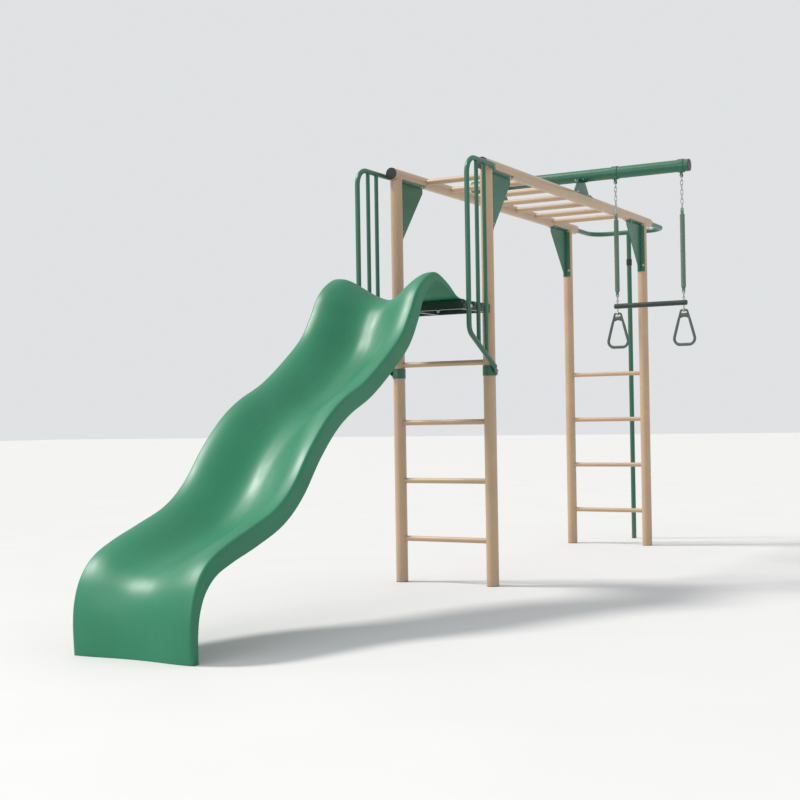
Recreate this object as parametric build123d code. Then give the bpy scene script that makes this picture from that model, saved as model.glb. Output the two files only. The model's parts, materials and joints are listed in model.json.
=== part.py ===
from build123d import *
import math
import os

# Monkey-bar station of a steel play set: two four-rung end ladders, an overhead ladder,
# a small deck with guard hoops and a moulded wave slide, an end loop with a fireman's pole,
# and a cross beam that carries a trapeze with ring handles.
#
# Working frame, in millimetres: +X from the left posts to the right posts, +Y from the
# slide end to the pole end, +Z up, ground at z = 0, front left post axis at x = y = 0.
# Everything is written out moved so that the origin is the centre of the footprint.

# ---- frame ----
BAY_WIDTH = 530.0  # left posts to right posts, centre to centre
BAY_LENGTH = 2384.0  # front posts to rear posts
RAIL_Z = 2158.0  # axis height of the overhead rails
TUBE_R = 31.75  # posts and rails
TUBE_WALL = 2.0
RAIL_FRONT = -52.0  # front ends of the rails
RAIL_REAR = BAY_LENGTH + 128.0
CAP_T = 3.0  # flange of every plastic end cap
CAP_PLUG = 22.0  # length of the plug inside the tube
SPLICE_Z = 1210.0  # seam between lower and upper post
SPIGOT = 80.0  # swaged end of the upper post inside the lower post

# ---- rungs ----
RUNG_PITCH = 304.8
FIRST_RUNG_Z = 230.0
LADDER_RUNGS = 4
LADDER_RUNG_R = 14.0
OVERHEAD_RUNGS = 7
OVERHEAD_RUNG_R = 16.5
RUNG_WALL = 1.6

# ---- corner gussets ----
GUSSET_RAIL_LEG = 290.0  # reach from the post axis along the rail
GUSSET_POST_LEG = 340.0  # reach from the rail axis down the post
GUSSET_TIP = 45.0  # width of the blunt ends of the plate
PLATE_T = 4.0
STRIP_T = 3.0  # saddle strips that hug the tubes
STRIP_HALF_ANGLE = 48.0
SCREW_ANGLE = 30.0  # screws sit this far round the tube, each side of the plate
GUSSET_SCREW_INSET = 40.0  # screws in from the ends of both legs

# ---- guard hoops ----
HOOP_R = 12.7
HOOP_WALL = 1.6
TAB_GAP = 0.3  # between a flattened tube end and what it is screwed to
HOOP_OUT = TUBE_R + STRIP_T + TAB_GAP + HOOP_R  # hoop plane, outside the post axis
HOOP_TOP_Z = RAIL_Z - 10.0
HOOP_REACH = 322.0
HOOP_CORNER_R = 88.0
HOOP_KNEE_Z = 1285.0
HOOP_KNEE_R = 60.0
HOOP_TOP_REACH = 30.0  # round tube ends here, before the top tab
HOOP_FOOT_REACH = 34.0  # and here, before the lower tab
HOOP_FOOT_RISE = 18.0
HOOP_FOOT_Z = 1100.0
HOOP_BAR_R = 10.5
HOOP_BAR_WALL = 1.5
HOOP_BAR_REACH = (216.0, 130.0)
TAB_T = 4.0  # flattened tube ends
TAB_WIDTH = 30.0
TAB_LENGTH = 34.0
TAB_SETBACK = 4.0
TAPER = 26.0  # from the round tube to the flat tab
TOP_TAB_SCREW = 24.0  # behind the post axis
SADDLE_HALF_H = 26.0

# ---- deck ----
DECK_TOP = 1437.0
DECK_T = 18.0
DECK_MARGIN = 30.0  # deck edge outside the post axis
DECK_BACK = -36.0
DECK_FRONT = -352.0
BEAM_W = 25.0  # square deck bearers
FRAME_INSET = 4.0  # bearers in from the deck's edge
LIP_BOLTS = (-150.0, 0.0, 150.0)  # across the slide's lip, from its middle

# ---- slide ----
SLIDE_HALF = 278.0
SLIDE_T = 4.0
SLIDE_MID = BAY_WIDTH / 2
LIP_GAP = 2.5  # slide lip above the deck
RIM_INSET = 18.0  # crest of the rim, in from the outside face
RIM_ROLL = 14.0
# Side view of the slide from the deck lip to the exit. Each station gives the crest of
# the rim (y, z), the middle of the bed (y, z), and the height of the outer skirt.
SLIDE_STATIONS = (
    ((-300.0, 1445.0), (-300.0, 1443.5), 4.6),
    ((-342.0, 1445.5), (-342.0, 1443.5), 4.8),
    ((-390.0, 1460.0), (-385.0, 1443.0), 14.0),
    ((-470.0, 1511.0), (-460.0, 1441.5), 30.0),
    ((-590.0, 1553.0), (-560.0, 1438.0), 40.0),
    ((-695.0, 1519.0), (-630.0, 1423.0), 50.0),
    ((-780.0, 1451.0), (-695.0, 1382.0), 64.0),
    ((-845.0, 1352.0), (-756.0, 1303.0), 74.0),
    ((-930.0, 1246.0), (-845.0, 1172.0), 80.0),
    ((-1065.0, 1144.0), (-999.0, 1056.0), 80.0),
    ((-1250.0, 1030.0), (-1202.0, 936.0), 80.0),
    ((-1430.0, 952.0), (-1384.0, 858.0), 80.0),
    ((-1560.0, 872.0), (-1495.0, 791.0), 80.0),
    ((-1690.0, 755.0), (-1614.0, 687.0), 80.0),
    ((-1820.0, 610.0), (-1752.0, 537.0), 80.0),
    ((-1946.0, 521.0), (-1897.0, 436.0), 80.0),
    ((-2110.0, 461.0), (-2080.0, 374.0), 80.0),
    ((-2260.0, 410.0), (-2233.0, 337.0), 74.0),
    ((-2370.0, 358.0), (-2338.0, 308.0), 66.0),
    ((-2440.0, 285.0), (-2406.0, 261.0), 56.0),
    ((-2474.0, 200.0), (-2447.0, 193.0), 46.0),
    ((-2483.0, 110.0), (-2463.0, 108.0), 38.0),
    ((-2477.0, 0.0), (-2460.0, 0.0), 32.0),
)

# ---- cross beam ----
ARM_Y = 1316.0
ARM_Z = 2293.0
ARM_R = 35.0
ARM_WALL = 2.0
ARM_LEFT = -130.0
ARM_RIGHT = 1190.0
COUPLER_R = 39.0
COUPLER_BORE_R = 35.5
COUPLER_SOCKET = 60.0  # free depth of the coupler's socket
COUPLER_GRIP = 60.0  # length over the beam
BRACKET_FOOT = 240.0  # along the rail
BRACKET_HEAD = 96.0  # under the beam
CRADLE_LENGTH = 70.0
CRADLE_HALF_ANGLE = 64.0
CRADLE_SCREW_ANGLE = 52.0  # from straight down, round the beam
CRADLE_SCREW_REACH = 24.0  # each side of the rail
BRACKET_SCREW_INSET = 22.0

# ---- end loop and pole ----
LOOP_R = 16.0
LOOP_WALL = 2.0
LOOP_Y = 2873.0
LOOP_CORNER_R = 120.0
POLE_JOINT_Z = 1946.0
COLLAR_R = 19.5
COLLAR_HALF = 22.0
POLE_SPIGOT = 60.0
SPIGOT_ROOT = 12.0  # spigot inside its own tube

# ---- trapeze ----
HANGER_X = (744.0, 1144.0)
HANGER_WIDTH = 34.0
HANGER_T = 4.0
PIVOT_Z = 2236.0
PIN_R = 4.0
PIN_CLEARANCE = 0.1
LUG_GAP = 5.0
LUG_T = 4.0
LUG_R = 10.0
PIN_END = 3.0  # pin beyond the lugs
EYE_T = 4.0
EYE_R = 9.0
EYE_DROP = 24.0  # from the pivot pin to the lower hole
EYE_HOLE_R = 4.5
LINK_WIRE = 2.5
LINK_PITCH = 27.0
LINK_HALF_W = 6.5  # centre line of the link's straight sides
LINK_SLACK = 0.2
HOLE_SLACK = 0.5  # play of a link in the eye it hangs from
UPPER_LINKS = 6
LOWER_LINKS = 1
GRIP_R = 14.0
GRIP_TOP = 2015.0
GRIP_RIBS = 14
GRIP_PLAIN_END = 24.0
GROOVE_R = 2.4
BAR_Z = 1505.0
BAR_R = 15.0
BAR_WALL = 2.0
BAR_OVERHANG = 20.0
RING_WIRE = 6.0
RING_WIDTH = 150.0
RING_HEIGHT = 198.0
RING_TOP_WIDTH = 36.0
RING_PIVOT_Z = 1462.0
RING_CORNER_R = 24.0
RING_TOP_CORNER_R = 10.0
RING_GRIP_R = 9.0
RING_EYE_R = 11.0
RING_EYE_T = 7.0
RING_WEB = (17.0, 52.0)  # web between the ring's sides, below the pivot
RING_WEB_T = 7.0

# ---- fasteners ----
SCREW_R = 2.5
SCREW_LENGTH = 11.0
SCREW_HEAD = 4.0
WASHER_T = 1.6
BOLT_R = 4.0
BOLT_LENGTH = 60.5
BOLT_HEAD = 4.5
NUT_H = 6.5
NUT_BACK = 7.0  # nut face, back from the bolt's end
OVERCUT = 5.0  # drills and cutters run this far past what they cut

LEFT_X, RIGHT_X = 0.0, BAY_WIDTH
FRONT_Y, REAR_Y = 0.0, BAY_LENGTH
CORNERS = {
    "front_left": (LEFT_X, FRONT_Y),
    "front_right": (RIGHT_X, FRONT_Y),
    "rear_left": (LEFT_X, REAR_Y),
    "rear_right": (RIGHT_X, REAR_Y),
}
COUPLER_LEFT = ARM_LEFT - COUPLER_SOCKET
# A link hangs this far below the hole it passes through, centre to centre.
LINK_DROP = EYE_HOLE_R - HOLE_SLACK + LINK_PITCH / 2
GRIP_EYE_TOP = (
    PIVOT_Z - EYE_DROP - 2 * LINK_DROP - (UPPER_LINKS - 1) * (LINK_PITCH - LINK_SLACK)
)
BAR_EYE_Z = BAR_Z + BAR_R + 12.0
GRIP_EYE_LOW = BAR_EYE_Z + 2 * LINK_DROP + (LOWER_LINKS - 1) * (LINK_PITCH - LINK_SLACK)
GRIP_LOW = GRIP_EYE_LOW + 24.0


# ---- helpers ----
def rod(start, end, radius):
    """Solid round bar between two points."""
    start, end = Vector(start), Vector(end)
    axis = end - start
    return Solid.make_cylinder(radius, axis.length, Plane(start, z_dir=axis))


def tube(start, end, radius, wall):
    """Hollow round tube between two points."""
    return rod(start, end, radius) - rod(start, end, radius - wall)


def block(low, high):
    """Box between two opposite corners."""
    size = Vector(high) - Vector(low)
    middle = (Vector(high) + Vector(low)) / 2
    return Pos(*middle) * Box(size.X, size.Y, size.Z)


def bent(path, radius, wall=0.0):
    """Round tube, or bar when wall is 0, along a path of lines and arcs."""
    section = Circle(radius) - Circle(radius - wall) if wall else Circle(radius)
    start = Plane(path @ 0, z_dir=path % 0)
    return sweep(start * section, path=path)


def plane_face(plane, outline):
    """Face bounded by a closed outline drawn in a plane."""
    return plane * make_face(outline)


def hexagon(centre, direction, across_corners_r, height):
    """Hexagonal prism that grows from centre along direction."""
    plane = Plane(centre, z_dir=direction)
    return extrude(plane * RegularPolygon(across_corners_r, 6), height)


def screw(seat, inward):
    """Self-drilling screw with a washer-faced hexagon head, pointing inward."""
    seat, inward = Vector(seat), Vector(inward).normalized()
    shank = rod(seat - inward, seat + inward * SCREW_LENGTH, SCREW_R)
    washer_top = seat - inward * WASHER_T
    washer = rod(seat, washer_top, SCREW_R * 3)
    return shank + washer + hexagon(washer_top, -inward, SCREW_R * 2, SCREW_HEAD)


def screw_hole(seat, inward):
    """Hole for the screw, through the sheet and the tube wall behind it."""
    seat, inward = Vector(seat), Vector(inward).normalized()
    return rod(seat - inward * OVERCUT, seat + inward * (SCREW_LENGTH + 1), SCREW_R)


def carriage_bolt(seat, inward, nutted):
    """Dome-headed bolt, with a washer and nut or threaded into what it holds."""
    seat, inward = Vector(seat), Vector(inward).normalized()
    end = seat + inward * BOLT_LENGTH
    head = rod(seat, seat - inward * BOLT_HEAD, BOLT_R * 2.3)
    head = fillet(head.faces().sort_by(Axis(seat, -inward))[-1].edges(), 3.6)
    shank = rod(seat - inward, end + inward * 3, BOLT_R)
    if not nutted:
        return head + shank
    nut_face = end - inward * NUT_BACK
    washer = rod(nut_face - inward * WASHER_T, nut_face, BOLT_R * 2.3)
    nut = hexagon(nut_face, inward, BOLT_R * 1.9, NUT_H)
    return head + shank + washer + nut


def bolt_hole(seat, inward):
    """Hole for a carriage bolt."""
    seat, inward = Vector(seat), Vector(inward).normalized()
    return rod(seat - inward * OVERCUT, seat + inward * (BOLT_LENGTH + OVERCUT), BOLT_R)


def drilled(shape, holes):
    """Shape with every hole cut out of it."""
    for hole in holes:
        shape = shape - hole
    return shape


def saddle_strip(start, end, facing, radius, half_angle=STRIP_HALF_ANGLE):
    """Part-round sheet that hugs a tube on the side that it faces."""
    start, end = Vector(start), Vector(end)
    axis = (end - start).normalized()
    plane = Plane(start, x_dir=Vector(facing), z_dir=axis)
    outer = radius + STRIP_T
    reach = outer * 2
    tip = reach * math.tan(math.radians(half_angle))
    wedge = Polygon((0, 0), (reach, tip), (reach, -tip), align=None)
    section = (Circle(outer) - Circle(radius)) & wedge
    return extrude(plane * section, (end - start).length)


# ---- posts and ladders ----
def rail_body(x):
    """Outside of a rail as a solid bar, used to cope what meets it."""
    return rod((x, RAIL_FRONT, RAIL_Z), (x, RAIL_REAR, RAIL_Z), TUBE_R)


def post_lower(x, y):
    return tube((x, y, CAP_T), (x, y, SPLICE_Z), TUBE_R, TUBE_WALL)


def post_upper(x, y):
    body = tube((x, y, SPLICE_Z), (x, y, RAIL_Z), TUBE_R, TUBE_WALL)
    spigot_r = TUBE_R - TUBE_WALL
    spigot = tube((x, y, SPLICE_Z - SPIGOT), (x, y, SPLICE_Z + SPIGOT_ROOT), spigot_r, TUBE_WALL)
    return body + spigot - rail_body(x)


def end_cap(centre, outward, radius, wall):
    """Plastic cap: a flange flush with the tube and a plug inside it."""
    centre, outward = Vector(centre), Vector(outward)
    flange = rod(centre, centre + outward * CAP_T, radius)
    plug = rod(centre - outward * CAP_PLUG, centre, radius - wall)
    hollow = rod(centre - outward * CAP_PLUG, centre - outward * 2, radius - wall - 3)
    flange = fillet(flange.faces().sort_by(Axis(centre, outward))[-1].edges(), 1.6)
    return flange + plug - hollow


def foot_cap(x, y, radius, wall):
    """Cap under a post, with its flat face on the ground."""
    centre = Vector(x, y, CAP_T)
    flange = rod((x, y, 0), centre, radius)
    plug = rod(centre, (x, y, CAP_PLUG), radius - wall)
    hollow = rod((x, y, CAP_T + 2), (x, y, CAP_PLUG), radius - wall - 3)
    return flange + plug - hollow


def ladder_rung(y, z):
    """Rung between two posts, its ends coped to them."""
    body = tube((LEFT_X, y, z), (RIGHT_X, y, z), LADDER_RUNG_R, RUNG_WALL)
    for x in (LEFT_X, RIGHT_X):
        body = body - rod((x, y, z - TUBE_R), (x, y, z + TUBE_R), TUBE_R)
    return body


def overhead_rung(y):
    """Rung between the rails, its ends coped to them."""
    body = tube((LEFT_X, y, RAIL_Z), (RIGHT_X, y, RAIL_Z), OVERHEAD_RUNG_R, RUNG_WALL)
    for x in (LEFT_X, RIGHT_X):
        body = body - rod((x, y - TUBE_R, RAIL_Z), (x, y + TUBE_R, RAIL_Z), TUBE_R)
    return body


# ---- gussets ----
def gusset(x, y):
    """Corner plate between a post and its rail, with a saddle strip along each tube."""
    side = 1 if y == FRONT_Y else -1
    inner = y + side * (TUBE_R + STRIP_T / 2)
    under = RAIL_Z - TUBE_R - STRIP_T / 2
    rail_end = y + side * GUSSET_RAIL_LEG
    post_end = RAIL_Z - GUSSET_POST_LEG
    outline = Polyline(
        (inner, under),
        (rail_end, under),
        (rail_end, under - GUSSET_TIP * 0.6),
        (inner + side * GUSSET_TIP * 0.6, post_end),
        (inner, post_end),
        close=True,
    )
    plate = Plane(origin=(x - PLATE_T / 2, 0, 0), x_dir=(0, 1, 0), z_dir=(1, 0, 0))
    web = extrude(plane_face(plate, outline), PLATE_T)
    rail_strip = saddle_strip(
        (x, y + side * (TUBE_R + 4), RAIL_Z), (x, rail_end, RAIL_Z), (0, 0, -1), TUBE_R
    )
    post_strip = saddle_strip(
        (x, y, post_end), (x, y, RAIL_Z - TUBE_R - 6), (0, side, 0), TUBE_R
    )
    body = web + rail_strip + post_strip
    post_body = rod((x, y, post_end - OVERCUT), (x, y, RAIL_Z), TUBE_R)
    return body - post_body - rail_body(x)


def gusset_screws(x, y):
    """Seats and directions of one gusset's screws."""
    side = 1 if y == FRONT_Y else -1
    seats = []
    seat_r = TUBE_R + STRIP_T
    for turn in (-SCREW_ANGLE, SCREW_ANGLE):
        s, c = math.sin(math.radians(turn)), math.cos(math.radians(turn))
        along = y + side * (GUSSET_RAIL_LEG - GUSSET_SCREW_INSET)
        seats.append(((x + seat_r * s, along, RAIL_Z - seat_r * c), (-s, 0, c)))
        low = RAIL_Z - GUSSET_POST_LEG + GUSSET_SCREW_INSET
        seats.append(((x + seat_r * s, y + side * seat_r * c, low), (-s, -side * c, 0)))
    return seats


# ---- guard hoops ----
def flattened_end(start, along, tab_centre, tab_along, facing):
    """Tube end pressed flat: a taper from the round tube to a flat tab."""
    round_end = Plane(start, x_dir=facing, z_dir=along) * Circle(HOOP_R)
    tab_plane = Plane(tab_centre, x_dir=facing, z_dir=tab_along)
    flat_end = tab_plane * Rectangle(TAB_T, TAB_WIDTH)
    taper = loft([round_end.face(), flat_end.face()])
    return taper + extrude(flat_end, TAB_LENGTH)


def hoop(x, outward):
    """Guard hoop outside a front post: top run, rounded corner, upright and diagonal."""
    plane_x = x + outward * HOOP_OUT
    top_start = Vector(plane_x, -HOOP_TOP_REACH, HOOP_TOP_Z)
    corner = Vector(plane_x, -HOOP_REACH, HOOP_TOP_Z)
    knee = Vector(plane_x, -HOOP_REACH, HOOP_KNEE_Z)
    foot = Vector(plane_x, -HOOP_FOOT_REACH, HOOP_FOOT_Z + HOOP_FOOT_RISE)
    path = FilletPolyline(top_start, corner, knee, foot, radius=[HOOP_CORNER_R, HOOP_KNEE_R])
    body = bent(path, HOOP_R, HOOP_WALL)
    facing = (1, 0, 0)
    tab_x = x + outward * (TUBE_R + TAB_GAP + TAB_T / 2)
    top_tab = (tab_x, TAB_SETBACK, HOOP_TOP_Z)
    body += flattened_end(top_start, (0, 1, 0), top_tab, (0, 1, 0), facing)
    lower_x = x + outward * (TUBE_R + STRIP_T + TAB_GAP + TAB_T / 2)
    lean = (foot - knee).normalized()
    tab_centre = Vector(lower_x, foot.Y, foot.Z) + Vector(0, lean.Y, lean.Z) * TAPER
    body += flattened_end(foot, lean, tab_centre, lean, facing)
    return body


def hoop_bars(x, outward):
    """Two upright bars inside a hoop, from its top run to its diagonal."""
    plane_x = x + outward * HOOP_OUT
    foot_z = HOOP_FOOT_Z + HOOP_FOOT_RISE
    slope = (HOOP_KNEE_Z - foot_z) / (HOOP_REACH - HOOP_FOOT_REACH)
    bars = []
    for reach in HOOP_BAR_REACH:
        low = HOOP_KNEE_Z - (HOOP_REACH - reach) * slope
        bar = tube((plane_x, -reach, low), (plane_x, -reach, HOOP_TOP_Z), HOOP_BAR_R, HOOP_BAR_WALL)
        bar -= rod((plane_x, -HOOP_REACH, HOOP_TOP_Z), (plane_x, 0, HOOP_TOP_Z), HOOP_R)
        knee = (plane_x, -HOOP_REACH, HOOP_KNEE_Z)
        bar -= rod(knee, (plane_x, -HOOP_FOOT_REACH, foot_z), HOOP_R)
        bars.append(bar.solids().sort_by(SortBy.VOLUME)[-1])
    return bars


def saddle(x):
    """Band round a front post that the hoop's lower tab is screwed to."""
    low, high = HOOP_FOOT_Z - SADDLE_HALF_H, HOOP_FOOT_Z + SADDLE_HALF_H
    return tube((x, 0, low), (x, 0, high), TUBE_R + STRIP_T, STRIP_T)


def hoop_foot_seat(x, outward):
    """Screw through the hoop's lower tab, the saddle and the post."""
    seat_x = x + outward * (TUBE_R + STRIP_T + TAB_GAP + TAB_T)
    return (seat_x, TAB_SETBACK, HOOP_FOOT_Z - TAB_SETBACK), (-outward, 0, 0)


# ---- deck ----
DECK_LEFT = LEFT_X - DECK_MARGIN
DECK_RIGHT = RIGHT_X + DECK_MARGIN


def deck_panel():
    panel = block((DECK_LEFT, DECK_FRONT, DECK_TOP - DECK_T), (DECK_RIGHT, DECK_BACK, DECK_TOP))
    return fillet(panel.edges().filter_by(Axis.Z), 8.0)


def deck_frame():
    """Square bearers under the deck, welded into a rectangle."""
    low = DECK_TOP - DECK_T - BEAM_W
    high = DECK_TOP - DECK_T
    left, right = DECK_LEFT + FRAME_INSET, DECK_RIGHT - FRAME_INSET
    front, back = DECK_FRONT + FRAME_INSET, DECK_BACK
    outer = block((left, front, low), (right, back, high))
    inner = block((left + BEAM_W, front + BEAM_W, low), (right - BEAM_W, back - BEAM_W, high))
    middle = block((SLIDE_MID - BEAM_W / 2, front, low), (SLIDE_MID + BEAM_W / 2, back, high))
    return outer - inner + middle


def deck_bolt_seats():
    """Bolts that hold the slide lip down, and that tie the hoops to the deck frame."""
    lip_y = DECK_FRONT + FRAME_INSET + BEAM_W / 2
    lip_z = DECK_TOP + LIP_GAP + SLIDE_T + 1.0
    seats = [((SLIDE_MID + dx, lip_y, lip_z), (0, 0, -1), True) for dx in LIP_BOLTS]
    bearer_z = DECK_TOP - DECK_T - BEAM_W / 2
    for x, outward in ((LEFT_X, -1), (RIGHT_X, 1)):
        head_x = x + outward * (HOOP_OUT + HOOP_R)
        seats.append(((head_x, -HOOP_REACH, bearer_z), (-outward, 0, 0), False))
    return seats


# ---- slide ----
def slide_section(rim, bed, skirt):
    """Closed outline across the slide: rims, rounded trough and outer skirts."""
    rim, bed = Vector(0, *rim), Vector(0, *bed)
    rise = rim - bed
    depth = rise.length
    plane = Plane((SLIDE_MID, bed.Y, bed.Z), x_dir=(1, 0, 0), z_dir=Vector(1, 0, 0).cross(rise))
    crest = SLIDE_HALF - RIM_INSET
    roll = min(skirt * 0.4, RIM_ROLL)
    shoulder = crest - 32, depth - min(depth * 0.08, 9)
    half = [
        (SLIDE_HALF, depth - skirt),
        (SLIDE_HALF - 1, depth - skirt * 0.6),
        (SLIDE_HALF - 4, depth - roll * 0.5),
        (crest, depth),
        shoulder,
        (crest * 0.66, depth * 0.56),
        (crest * 0.36, depth * 0.17),
    ]
    top = half + [(0, 0)] + [(-x, h) for x, h in reversed(half)]
    under = [
        (SLIDE_HALF - SLIDE_T, depth - skirt),
        (SLIDE_HALF - SLIDE_T - 1, depth - skirt * 0.65),
        (crest - 2, depth - SLIDE_T),
        (shoulder[0], shoulder[1] - SLIDE_T),
        (crest * 0.65, depth * 0.55 - SLIDE_T),
        (crest * 0.36, depth * 0.17 - SLIDE_T),
    ]
    under = under + [(0, -SLIDE_T)] + [(-x, h) for x, h in reversed(under)]
    upper = Spline(*top)
    lower = Spline(*under)
    ends = [Line(upper @ 0, lower @ 0), Line(upper @ 1, lower @ 1)]
    return plane * make_face([upper, lower] + ends)


def slide_shell():
    sections = [slide_section(*station) for station in SLIDE_STATIONS]
    return loft(sections)


# ---- cross beam ----
def arm():
    return tube((ARM_LEFT, ARM_Y, ARM_Z), (ARM_RIGHT, ARM_Y, ARM_Z), ARM_R, ARM_WALL)


def arm_coupler():
    """Sleeve on the beam's left end, half of it an open socket for the next beam."""
    low, seam = (COUPLER_LEFT, ARM_Y, ARM_Z), (ARM_LEFT, ARM_Y, ARM_Z)
    sleeve = rod(low, (ARM_LEFT + COUPLER_GRIP, ARM_Y, ARM_Z), COUPLER_R)
    sleeve -= rod(low, seam, COUPLER_BORE_R)
    return sleeve - rod(seam, (ARM_LEFT + COUPLER_GRIP, ARM_Y, ARM_Z), ARM_R)


def arm_bracket(x):
    """Stand on a rail that cradles the beam: web, foot strip and cradle strip."""
    foot_z = RAIL_Z + TUBE_R + STRIP_T / 2
    head_z = ARM_Z - ARM_R * 0.5
    outline = Polyline(
        (ARM_Y - BRACKET_FOOT / 2, foot_z),
        (ARM_Y + BRACKET_FOOT / 2, foot_z),
        (ARM_Y + BRACKET_HEAD / 2, head_z),
        (ARM_Y - BRACKET_HEAD / 2, head_z),
        close=True,
    )
    plate = Plane(origin=(x - PLATE_T / 2, 0, 0), x_dir=(0, 1, 0), z_dir=(1, 0, 0))
    web = extrude(plane_face(plate, outline), PLATE_T)
    half = BRACKET_FOOT / 2
    foot = saddle_strip(
        (x, ARM_Y - half, RAIL_Z), (x, ARM_Y + half, RAIL_Z), (0, 0, 1), TUBE_R
    )
    cradle = saddle_strip(
        (x - CRADLE_LENGTH / 2, ARM_Y, ARM_Z),
        (x + CRADLE_LENGTH / 2, ARM_Y, ARM_Z),
        (0, 0, -1),
        ARM_R,
        CRADLE_HALF_ANGLE,
    )
    body = web + foot + cradle
    body -= rod((x - CRADLE_LENGTH, ARM_Y, ARM_Z), (x + CRADLE_LENGTH, ARM_Y, ARM_Z), ARM_R)
    return body - rail_body(x)


def bracket_screws(x):
    """Seats and directions of one beam bracket's screws."""
    seats = []
    seat_r = TUBE_R + STRIP_T
    reach = BRACKET_FOOT / 2 - BRACKET_SCREW_INSET
    for turn in (-SCREW_ANGLE, SCREW_ANGLE):
        s, c = math.sin(math.radians(turn)), math.cos(math.radians(turn))
        for y in (ARM_Y - reach, ARM_Y + reach):
            seats.append(((x + seat_r * s, y, RAIL_Z + seat_r * c), (-s, 0, -c)))
    steep = math.radians(CRADLE_SCREW_ANGLE)
    s, c = math.sin(steep), math.cos(steep)
    seat_r = ARM_R + STRIP_T
    for side in (-1, 1):
        for seat_x in (x - CRADLE_SCREW_REACH, x + CRADLE_SCREW_REACH):
            seat = (seat_x, ARM_Y + side * seat_r * s, ARM_Z - seat_r * c)
            seats.append((seat, (0, -side * s, c)))
    return seats


# ---- end loop and pole ----
def end_loop():
    """Loop past the rear ends of the rails, with plugs in the rails and a pole stub."""
    start, end = (LEFT_X, RAIL_REAR - CAP_PLUG, RAIL_Z), (RIGHT_X, RAIL_REAR - CAP_PLUG, RAIL_Z)
    path = FilletPolyline(
        start, (LEFT_X, LOOP_Y, RAIL_Z), (RIGHT_X, LOOP_Y, RAIL_Z), end, radius=LOOP_CORNER_R
    )
    stub_top, stub_low = (SLIDE_MID, LOOP_Y, RAIL_Z), (SLIDE_MID, LOOP_Y, POLE_JOINT_Z)
    outer = bent(path, LOOP_R) + rod(stub_low, stub_top, LOOP_R)
    for x in (LEFT_X, RIGHT_X):
        plug_start = (x, RAIL_REAR - CAP_PLUG, RAIL_Z)
        outer += rod(plug_start, (x, RAIL_REAR, RAIL_Z), TUBE_R - TUBE_WALL)
        outer += rod((x, RAIL_REAR, RAIL_Z), (x, RAIL_REAR + CAP_T, RAIL_Z), TUBE_R)
    bore = LOOP_R - LOOP_WALL
    return outer - bent(path, bore) - rod(stub_low, stub_top, bore)


def pole():
    """Fireman's pole, its top swaged to plug into the loop's stub."""
    low, seam = (SLIDE_MID, LOOP_Y, CAP_T), (SLIDE_MID, LOOP_Y, POLE_JOINT_Z)
    body = tube(low, seam, LOOP_R, LOOP_WALL)
    bore = LOOP_R - LOOP_WALL
    spigot_low = (SLIDE_MID, LOOP_Y, POLE_JOINT_Z - SPIGOT_ROOT)
    spigot_top = (SLIDE_MID, LOOP_Y, POLE_JOINT_Z + POLE_SPIGOT)
    return body + tube(spigot_low, spigot_top, bore, LOOP_WALL)


def pole_collar():
    """Sleeve over the pole joint."""
    low, high = POLE_JOINT_Z - COLLAR_HALF, POLE_JOINT_Z + COLLAR_HALF
    collar = rod((SLIDE_MID, LOOP_Y, low), (SLIDE_MID, LOOP_Y, high), COLLAR_R)
    rims = collar.faces().filter_by(GeomType.PLANE).edges()
    collar = fillet(rims, 1.2)
    return collar - rod((SLIDE_MID, LOOP_Y, low - 1), (SLIDE_MID, LOOP_Y, high + 1), LOOP_R)


# ---- trapeze ----
def hanger(x):
    """Band clamped round the beam with two lugs below it and the pivot pin."""
    half = HANGER_WIDTH / 2
    outer = ARM_R + HANGER_T
    band = rod((x - half, ARM_Y, ARM_Z), (x + half, ARM_Y, ARM_Z), outer)
    out = LUG_GAP / 2 + LUG_T
    lugs = block((x - out, ARM_Y - LUG_R, PIVOT_Z), (x + out, ARM_Y + LUG_R, ARM_Z - ARM_R))
    lugs += rod((x - out, ARM_Y, PIVOT_Z), (x + out, ARM_Y, PIVOT_Z), LUG_R)
    slot = block(
        (x - LUG_GAP / 2, ARM_Y - 2 * LUG_R, PIVOT_Z - 2 * LUG_R),
        (x + LUG_GAP / 2, ARM_Y + 2 * LUG_R, ARM_Z - outer),
    )
    body = band + (lugs - slot)
    body -= rod((x - half - 1, ARM_Y, ARM_Z), (x + half + 1, ARM_Y, ARM_Z), ARM_R)
    pin_half = out + PIN_END
    pin = rod((x - pin_half, ARM_Y, PIVOT_Z), (x + pin_half, ARM_Y, PIVOT_Z), PIN_R)
    return body + pin


def pivot_eye(x):
    """Flat plate on the pivot pin, with a lower hole for the first chain link."""
    half = EYE_T / 2
    top = (x - half, ARM_Y, PIVOT_Z), (x + half, ARM_Y, PIVOT_Z)
    low_z = PIVOT_Z - EYE_DROP
    body = rod(*top, EYE_R)
    body += rod((x - half, ARM_Y, low_z), (x + half, ARM_Y, low_z), EYE_R)
    body += block((x - half, ARM_Y - EYE_R, low_z), (x + half, ARM_Y + EYE_R, PIVOT_Z))
    body -= rod((x - EYE_R, ARM_Y, PIVOT_Z), (x + EYE_R, ARM_Y, PIVOT_Z), PIN_R + PIN_CLEARANCE)
    return body - rod((x - EYE_R, ARM_Y, low_z), (x + EYE_R, ARM_Y, low_z), EYE_HOLE_R)


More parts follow.
